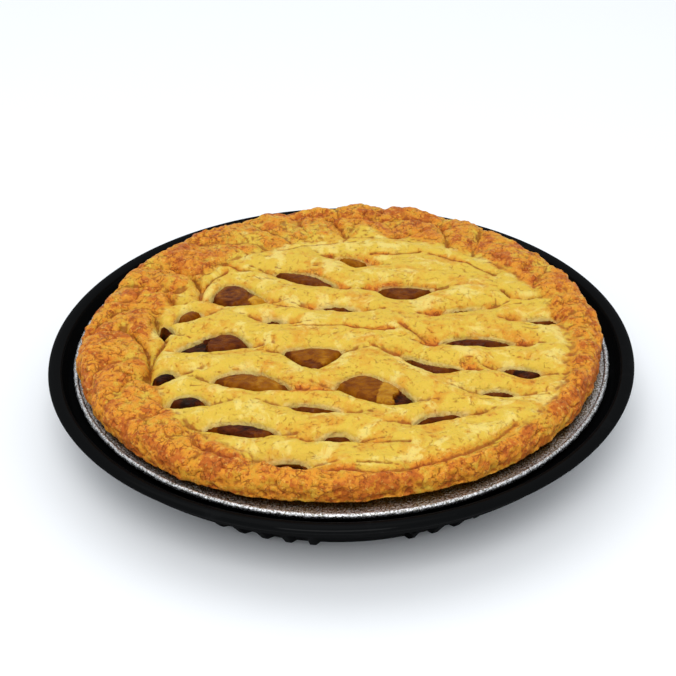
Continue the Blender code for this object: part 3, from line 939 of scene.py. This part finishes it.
    def roughen(self, slab: Piece, border: np.ndarray) -> None:
        """Raises crumbs and flakes on the pastry, more of them on its border.

        Args:
            slab: The shaped pastry.
            border: 1 on the border and 0 on the braid, for each point.
        """
        points, normals = places(slab), facing(slab)
        flaky = 0.5 - 2.0 * np.abs(lumps(points * [1.0, 1.0, 1.6], 7.0 * MM, 5))
        seams = np.exp(-((lumps(points * [0.6, 1.0, 1.0], 6.0 * MM, 15) / 0.07) ** 2))
        split = seams * smooth_step(lumps(points, 12 * MM, 16), -0.1, 0.25)
        crumbs = 0.42 * MM * lumps(points, 3.0 * MM, 6) + 0.26 * MM * lumps(points, 1.8 * MM, 7)
        strength = 0.45 + 0.65 * border
        relief = strength * (crumbs + (0.2 + 0.4 * border) * MM * flaky - 0.9 * MM * split)
        upward = smooth_step(normals[:, 2], -0.6, 0.0)
        points += normals * (relief * upward)[:, None]
        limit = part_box("crust")[1].z - 0.9 * MM
        over = np.maximum(points[:, 2] - limit, 0.0)
        points[:, 2] += 0.8 * MM * np.tanh(over / (0.8 * MM)) - over
        place(slab, points)

    def brown(
        self,
        slab: Piece,
        border: np.ndarray,
        inward: np.ndarray,
        slit_gap: np.ndarray,
        toasted: np.ndarray,
    ) -> None:
        """Keeps how browned each point is, with painted shade in the braid's broad hollows and along
        the creases, and where raw-looking dough shows in the slits' sides.

        Args:
            slab: The shaped pastry.
            border: 1 on the border and 0 on the braid, for each point.
            inward: Distance from the pastry's edge.
            slit_gap: Distance to the nearest slit.
            toasted: How much the creases are browned, partly as painted shade in them.
        """
        points, normals = places(slab), facing(slab)
        x, y, z = points.T
        back_edges = self.line_tree([self.slit_line(s, back_only=True) for s in SLITS])
        back_gap, back_number = self.reach_to(back_edges, points)
        toast = np.array([s.toast for s in SLITS])[back_number]
        behind = toast * np.exp(-((back_gap / (2.4 * MM)) ** 2)) * smooth_step(normals[:, 2], 0.3, 0.8)
        # The share from the creases is partly painted shade along them
        browning = 0.05 + 0.43 * border + 0.55 * behind + 0.55 * toasted
        browning += 0.16 * smooth_step(6 * MM - inward, 0.0, 6 * MM)
        for patch in PATCHES:
            east = (x - patch.x * MM) / (patch.across * MM)
            north = (y - patch.y * MM) / (patch.deep * MM)
            browning += 0.6 * patch.amount * np.exp(-(east**2 + north**2))
        browning += 0.15 * lumps(points, 11 * MM, 8) + 0.1 * lumps(points, 4 * MM, 9)
        fine, broad = hollows(slab, 4), hollows(slab, 30)
        # Painted shade on the braid: its broad hollows are browned and its tops kept paler; on the
        # border the raised parts brown more, as in the oven
        crest = np.clip(broad / (1.0 * MM), -0.6, 0.6) * smooth_step(normals[:, 2], 0.2, 0.7)
        browning -= (0.45 * border - 0.16) * crest
        surface = self.tin_rim + self.dome(np.hypot(x, y))
        uneven = 0.9 * MM * lumps(points, 6 * MM, 18)
        sunk = smooth_step(surface - z + uneven, 2.2 * MM, 3.8 * MM) * (1.0 - border)
        dough = sunk * smooth_step(3.2 * MM - slit_gap, 0.0, 2.0 * MM)
        dough *= smooth_step(0.6 - normals[:, 2], 0.0, 0.3) * smooth_step(-normals[:, 1], -0.2, 0.35)
        store(slab, "browning", np.clip(browning, 0.0, 1.0))
        store(slab, "dough", 0.75 * dough)
        # Fine hollows, which the pastry material darkens as painted shade
        store(slab, "hollow", np.clip(0.5 + fine / (0.55 * MM), 0.0, 1.0))

    def thin_underside(self, slab: Piece) -> None:
        """Leaves fewer faces on the underside, which the filling hides."""
        normals = facing(slab)
        inner = normals[:, 2] < -0.6
        group = slab.vertex_groups.new(name="underside")
        group.add([int(i) for i in np.flatnonzero(inner)], 1.0, "REPLACE")
        triangles = sum(len(p.vertices) - 2 for p in slab.data.polygons)
        ratio = min(1.0, 2.0 * self.most_faces / triangles)
        modify(slab, "DECIMATE", ratio=ratio, vertex_group="underside")
        slab.vertex_groups.clear()

    def build_top(self, finish: Finish) -> Piece:
        """Builds the lid and border."""
        slab = self.cut_slab()
        self.shape(slab)
        self.thin_underside(slab)
        finished(slab, Slot.PASTRY, finish, "crust")
        return slab

    def build_base(self, finish: Finish) -> Piece:
        """Builds the base that lines the tin under the filling."""
        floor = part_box("crust")[0].z
        mouth = self.tin_rim - 1.3 * MM
        profile = [
            (0.0, floor),
            (88.6 * MM, floor),
            (108.9 * MM, mouth + 0.1 * MM),
            (111.5 * MM, mouth + 0.9 * MM),
            (111.5 * MM, mouth + 1.7 * MM),
            (101.0 * MM, mouth + 1.7 * MM),
            (84.0 * MM, floor + 3.2 * MM),
            (0.0, floor + 3.2 * MM),
        ]
        base = turned("pastry_base", profile, 96)
        for name, value in (("browning", 0.3), ("dough", 0.3), ("hollow", 0.5)):
            store(base, name, np.full(len(base.data.vertices), value))
        finished(base, Slot.PASTRY, finish, "crust")
        return base


@dataclass(frozen=True)
class Chunk:
    """A piece of apple in a slit, in millimetres and degrees, with its tint from dark to gold."""

    x: float
    y: float
    across: float
    deep: float
    tint: float
    lean_x: float = 0.0
    lean_y: float = 0.0
    turn: float = 0.0
    lift: float = 0.0
    coil: float = 0.0


CHUNKS = tuple(
    Chunk(*row)
    for row in (
        (-51.4, 27, 16, 16, 0.36, 0.02, 0.06, 20, 1.5, 0.22), (-38, 22.5, 14, 9, 0.9, 0.1, 0, -15, 0.3),
        (-64, -16.5, 17, 12, 0.04, 0.0, 0.0, 0, -1.6), (-50, -13.5, 22, 13, 0.3, -0.12, 0.1, 30, 0.8),
        (-18, -23.5, 17, 15, 0.5, 0.12, 0, 20, 0.2), (-6, -25.5, 15, 16, 0.58, -0.1, 0.1, -25, 0.4),
        (-45, -46.5, 20, 15, 0.52, 0.1, 0, 10, 0.3), (-31, -47.5, 12, 16, 0.62, -0.1, 0, 30, 0.5),
        (-22, -49.5, 9, 9, 0.42, 0, 0, -20, -0.1), (7, -50.5, 24, 17, 0.5, 0.04, 0.08, -10, 0.5),
        (20, -55.5, 9, 22, 0.8, -0.1, 0, -14, 0.9), (28, -59.5, 12, 12, 0.1, 0, 0, 0, -1.2),
        (-20, 40.5, 34, 14, 0.34, 0, 0.05, -24, 0.2), (29, 24.5, 26, 15, 0.36, 0, 0.08, 0, 0.2),
        (-41, -78.5, 24, 10, 0.16, 0, 0, -9, 0.0), (-78, -38.5, 12, 10, 0.05, 0, 0, 14, 0.2),
        (-66, -57.5, 14, 9, 0.06, 0, 0, 0, 0.2), (-69, 10.5, 12, 8, 0.46, 0, 0, 22, 1.4),
        (-80, -1.5, 10, 9, 0.08, 0, 0, -38, 0.0), (-3, 13.5, 18, 6, 0.3, 0, 0, -9, 0.2),
        (7, 57.5, 16, 8, 0.62, 0, 0, -26, 0.6), (60, -17.5, 26, 8, 0.2, 0, 0, 0, 0.0),
        (44, -34.5, 26, 8, 0.12, 0, 0, -20, -0.6), (80, -40.5, 14, 8, 0.1, 0, 0, -10, 0.0),
    )
)


@dataclass
class Filling:
    """Apple slices in syrup, under the lid and up into its slits."""

    pastry: Pastry
    under_lid: float = 4.9 * MM
    below_top: float = 1.9 * MM
    reach: float = 103.0 * MM
    slope: float = 18.0 * MM
    cells: int = 262

    def ceiling(self, points: np.ndarray) -> np.ndarray:
        """How high the filling may stand: under the lid, and nearly up to its surface in the slits.

        Args:
            points: The places to ask for.

        Returns:
            The height over the ground at each place.
        """
        pastry = self.pastry
        radius = np.hypot(points[:, 0], points[:, 1])
        top = pastry.tin_rim + pastry.dome(radius)
        depth = self.depth_in_slit(points)
        opened = smooth_step(depth, 0.2 * MM, 2.2 * MM)
        folded = pastry.fold_share * pastry.creased(points)[0] * (1.0 - opened)
        return top - self.under_lid - folded + opened * (self.under_lid - self.below_top)

    def depth_in_slit(self, points: np.ndarray) -> np.ndarray:
        """How far inside a slit each place is, and 0 outside them all."""
        depth = np.zeros(len(points))
        for slit in SLITS:
            tilt = math.radians(slit.tilt)
            east, north = points[:, 0] - slit.x * MM, points[:, 1] - slit.y * MM
            share = 0.5 + (east * math.cos(tilt) + north * math.sin(tilt)) / (slit.length * MM)
            across = -east * math.sin(tilt) + north * math.cos(tilt)
            inside = (share > 0.0) & (share < 1.0)
            back, front = slit.edges(np.clip(share, 0.0, 1.0))
            room = np.minimum(back - across, across - front)
            depth = np.maximum(depth, np.where(inside, room, 0.0))
        return depth

    def chunks(self, points: np.ndarray) -> tuple[np.ndarray, np.ndarray]:
        """How far the apple stands over the syrup, and its tint.

        Args:
            points: The places to ask for.

        Returns:
            The heights and the tints.
        """
        height = 0.35 * MM * lumps(points, 7 * MM, 11) + 0.2 * MM * lumps(points, 3 * MM, 12)
        tint = 0.3 + 0.14 * lumps(points, 14 * MM, 13)
        grain = 0.3 * MM * lumps(points, 3.2 * MM, 14)
        for chunk in CHUNKS:
            turn = math.radians(chunk.turn)
            east, north = points[:, 0] - chunk.x * MM, points[:, 1] - chunk.y * MM
            along = east * math.cos(turn) + north * math.sin(turn)
            over = -east * math.sin(turn) + north * math.cos(turn)
            gap = np.hypot(along / (0.5 * chunk.across * MM), over / (0.5 * chunk.deep * MM))
            body = chunk.lift * MM + chunk.lean_x * east + chunk.lean_y * north + grain
            body += 1.3 * MM * (np.sqrt(np.clip(1.0 - gap**4, 0.0, 1.0)) - 0.7)
            wander = np.arctan2(over, along) + 2.0 * lumps(points, 5 * MM, 20)
            rings = chunk.coil * np.cos(2.2 * math.tau * gap + wander)
            body += rings * MM
            if chunk.lift < -1.0:
                wins = gap < 1.0
                height = np.where(wins, np.minimum(height, chunk.lift * MM), height)
            else:
                wins = (gap < 1.0) & (body > height)
                height = np.where(wins, body, height)
            own_tint = chunk.tint + 0.08 * lumps(points, 5 * MM, 17) + 0.4 * rings
            tint = np.where(wins, own_tint, tint)
        return height, np.clip(tint, 0.0, 1.0)

    def build_syrup(self, finish: Finish) -> Piece:
        """Builds the body of the filling, with a lumpy surface that swells into the slits."""
        deselect_all()
        bpy.ops.mesh.primitive_grid_add(x_subdivisions=self.cells, y_subdivisions=self.cells, size=2.0)
        syrup = named_piece("syrup")
        unit = places(syrup)
        x, y = unit[:, 0], unit[:, 1]
        disc_x = x * np.sqrt(1.0 - 0.5 * y * y)
        disc_y = y * np.sqrt(1.0 - 0.5 * x * x)
        points = np.stack([disc_x * self.reach, disc_y * self.reach, np.zeros_like(x)], axis=1)
        raised, tints = self.chunks(points)
        points[:, 2] = self.ceiling(points) - 0.6 * MM + np.clip(raised, -2.2 * MM, 1.0 * MM)
        place(syrup, points)
        rim = np.maximum(np.abs(x), np.abs(y)) > 0.9999
        select_points(syrup, rim)
        bpy.ops.mesh.region_to_loop()
        bpy.ops.mesh.extrude_edges_move()
        bpy.ops.object.mode_set(mode="OBJECT")
        points = places(syrup)
        skirt = np.arange(len(points)) >= len(unit)
        points[skirt, :2] *= (self.reach - self.slope) / self.reach
        points[skirt, 2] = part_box("filling")[0].z
        place(syrup, points)
        select_points(syrup, skirt)
        bpy.ops.mesh.edge_face_add()
        bpy.ops.mesh.select_all(action="SELECT")
        bpy.ops.mesh.normals_make_consistent(inside=False)
        bpy.ops.object.mode_set(mode="OBJECT")
        spread = np.full(len(places(syrup)), 0.4)
        spread[: len(tints)] = tints
        store(syrup, "tint", spread)
        finished(syrup, Slot.APPLE, finish, "filling")
        return syrup


@dataclass
class Tin:
    """The foil tin: sloping wall, grainy flange and crinkled curled edge."""

    steps: int = 540

    def build(self, finish: Finish) -> Piece:
        """Builds the tin."""
        low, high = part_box("foil_tin")
        rim, edge, floor = high.z, high.x, low.z
        flange = rim - 1.3 * MM
        curl = 1.3 * MM
        around = np.radians(np.linspace(175.0, -110.0, 13))
        rolled = [(edge - curl + curl * math.cos(a), rim - curl + curl * math.sin(a)) for a in around]
        profile = [
            (0.0, floor + 0.5 * MM),
            (89.0 * MM, floor + 0.5 * MM),
            (110.4 * MM, flange),
            (111.6 * MM, flange + 0.3 * MM),
            (115.0 * MM, flange + 0.25 * MM),
            *rolled,
            (edge - curl - 1.0 * MM, rim - curl - 0.5 * MM),
            (111.9 * MM, flange - 0.3 * MM),
            (111.1 * MM, flange - 0.7 * MM),
            (90.0 * MM, floor),
            (0.0, floor),
        ]
        tin = turned("foil_tin_shell", profile, self.steps)
        points = places(tin)
        radius, angle = polar(points)
        outer = smooth_step(radius, edge - 3.2 * MM, edge - 1.6 * MM)
        ring = np.stack([radius * 0.4, angle * edge, points[:, 2] * 0.5], axis=1)
        crinkle = 0.32 * MM * lumps(ring, 2.0 * MM, 21) + 0.14 * MM * lumps(ring, 6 * MM, 22)
        inward = 1.0 + outer * (crinkle - 0.3 * MM) / radius.clip(1 * MM)
        points[:, 0] *= inward
        points[:, 1] *= inward
        points[:, 2] += outer * (0.6 * crinkle - 0.15 * MM)
        place(tin, points)
        # The film marks the flange inside the curl: baked fat, and painted shade under the pie's border
        store(tin, "film", smooth_step(edge - 2.6 * MM - radius, 0.0, 1.5 * MM))
        finished(tin, Slot.FOIL, finish, "foil_tin")
        return tin


@dataclass
class Tray:
    """The black tray: rounded lip, step, ledge and sloping wall, with ribs round its foot."""

    steps: int = 504
    ribs: int = 63
    rib_depth: float = 2.5 * MM
    wall_run: float = 16.4 * MM
    wall_rise: float = 21.4 * MM
    plain_from: float = 266.0
    plain_to: float = 285.0

    def build(self, finish: Finish) -> Piece:
        """Builds the tray."""
        edge, _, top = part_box("tray")[1]
        foot = edge - 33.85 * MM
        lip = np.radians(np.linspace(155.0, 0.0, 9))
        wide, tall = 3.2 * MM, 1.7 * MM
        outside = [(edge - wide + wide * math.cos(a), top - tall + tall * math.sin(a)) for a in lip]
        shares = np.linspace(0.0, 1.0, 12)
        wall = [(foot + 1.6 * MM + t * self.wall_run, 1.6 * MM + t * self.wall_rise) for t in shares]
        profile = [
            (0.0, 2.4 * MM),
            (foot - 2.6 * MM, 2.4 * MM),
            (foot - 0.4 * MM, 3.4 * MM),
            (edge - 15.8 * MM, top - 11.4 * MM),
            (edge - 15.0 * MM, top - 9.9 * MM),
            (edge - 13.6 * MM, top - 9.3 * MM),
            (edge - 9.2 * MM, top - 8.7 * MM),
            (edge - 8.2 * MM, top - 8.0 * MM),
            (edge - 6.5 * MM, top - 2.0 * MM),
            *outside,
            (edge - 0.3 * MM, top - 2.4 * MM),
            (edge - 1.2 * MM, top - 2.7 * MM),
            (edge - 2.2 * MM, top - 2.2 * MM),
            (edge - 4.8 * MM, top - 2.4 * MM),
            (edge - 7.0 * MM, top - 9.8 * MM),
            (edge - 13.2 * MM, top - 10.8 * MM),
            *wall[::-1],
            (foot, 0.0),
            (foot - 5.0 * MM, 0.0),
            (foot - 6.0 * MM, 1.2 * MM),
            (0.0, 1.2 * MM),
        ]
        tray = turned("tray_shell", profile, self.steps)
        points = places(tray)
        radius, angle = polar(points)
        outer_wall = foot + 0.2 * MM + (points[:, 2] - 1.6 * MM) * self.wall_run / self.wall_rise
        on_wall = (radius > outer_wall) & (points[:, 2] > 0.8 * MM) & (points[:, 2] < 18.0 * MM)
        wave = np.cos(self.ribs * angle)
        rib = smooth_step(wave, 0.25, 0.75)
        turn = np.degrees(angle) % 360.0
        plain = (turn > self.plain_from) & (turn < self.plain_to)
        fade = smooth_step(points[:, 2], 0.2 * MM, 1.4 * MM)
        fade *= 1.0 - smooth_step(points[:, 2], 13 * MM, 16 * MM)
        out = 1.0 + np.where(on_wall & ~plain, self.rib_depth * rib * fade, 0.0) / radius.clip(1 * MM)
        points[:, 0] *= out
        points[:, 1] *= out
        place(tray, points)
        finished(tray, Slot.PLASTIC, finish, "tray")
        return tray


@dataclass
class Studio:
    """The pale floor, the soft light, and the camera at the photograph's angle."""

    elevation: float = math.radians(32.96)
    distance: float = 674.2 * MM
    roll: float = math.radians(-1.01)
    field: float = math.radians(26.0)
    right_px: float = 2.7
    down_px: float = 3.7
    sky: tuple[float, ...] = (0.91, 0.955, 1.0, 1.0)
    sky_strength: float = 0.84
    aim: tuple[float, float, float] = (0, 0, 0.03)

    def build_floor(self) -> None:
        """Lays a wide pale floor."""
        deselect_all()
        bpy.ops.mesh.primitive_plane_add(size=6.0)
        floor = named_piece("floor")
        recipe = Recipe("floor")
        recipe.fix(Base_Color=(0.95, 0.955, 0.965, 1.0), Roughness=0.9, Specular_IOR_Level=0.1)
        floor.data.materials.append(recipe.material)

    def build_light(self) -> None:
        """Sets a bright sky, and large soft lights above and in front of the pie."""
        world = bpy.data.worlds.new("studio")
        world.use_nodes = True
        sky = world.node_tree.nodes["Background"]
        sky.inputs["Color"].default_value = self.sky
        sky.inputs["Strength"].default_value = self.sky_strength
        bpy.context.scene.world = world
        for name, spot, size, power in (
            ("overhead", (-0.2, 0.3, 1.2), 0.9, 2.0),
            ("key", (-0.05, -0.8, 1.1), 0.7, 7.0),
        ):
            deselect_all()
            bpy.ops.object.light_add(type="AREA", location=spot)
            light = bpy.context.object
            light.name = name
            light.data.size = size
            light.data.energy = power
            toward = Vector(self.aim) - Vector(spot)
            light.rotation_euler = toward.to_track_quat("-Z", "Y").to_euler()

    def build_camera(self) -> None:
        """Places the camera where the photograph was taken from."""
        deselect_all()
        aim = Vector((0, 0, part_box("tray")[1].z))
        back = Vector((0, -math.cos(self.elevation), math.sin(self.elevation)))
        bpy.ops.object.camera_add(location=aim + self.distance * back)
        camera = bpy.context.object
        look = (-back).to_track_quat("-Z", "Y") @ Quaternion((0, 0, 1), self.roll)
        camera.rotation_euler = look.to_euler()
        camera.data.angle = self.field
        camera.data.shift_x = -self.right_px / IMAGE_SIZE
        camera.data.shift_y = self.down_px / IMAGE_SIZE
        bpy.context.scene.camera = camera
        bpy.context.scene.view_settings.view_transform = "Standard"


def main() -> None:
    """Loads the frame, sets up the floor, light and camera, and builds every piece over it."""
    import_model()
    tin_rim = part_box("foil_tin")[1].z
    studio = Studio()
    studio.build_floor()
    studio.build_light()
    studio.build_camera()
    Tray().build(PlasticFinish().material())
    Tin().build(FoilFinish().material())
    crust_finish = PastryFinish().material()
    pastry = Pastry(tin_rim)
    pastry.build_base(crust_finish)
    pastry.build_top(crust_finish)
    Filling(pastry).build_syrup(AppleFinish().material())


if __name__ == "__main__":
    main()
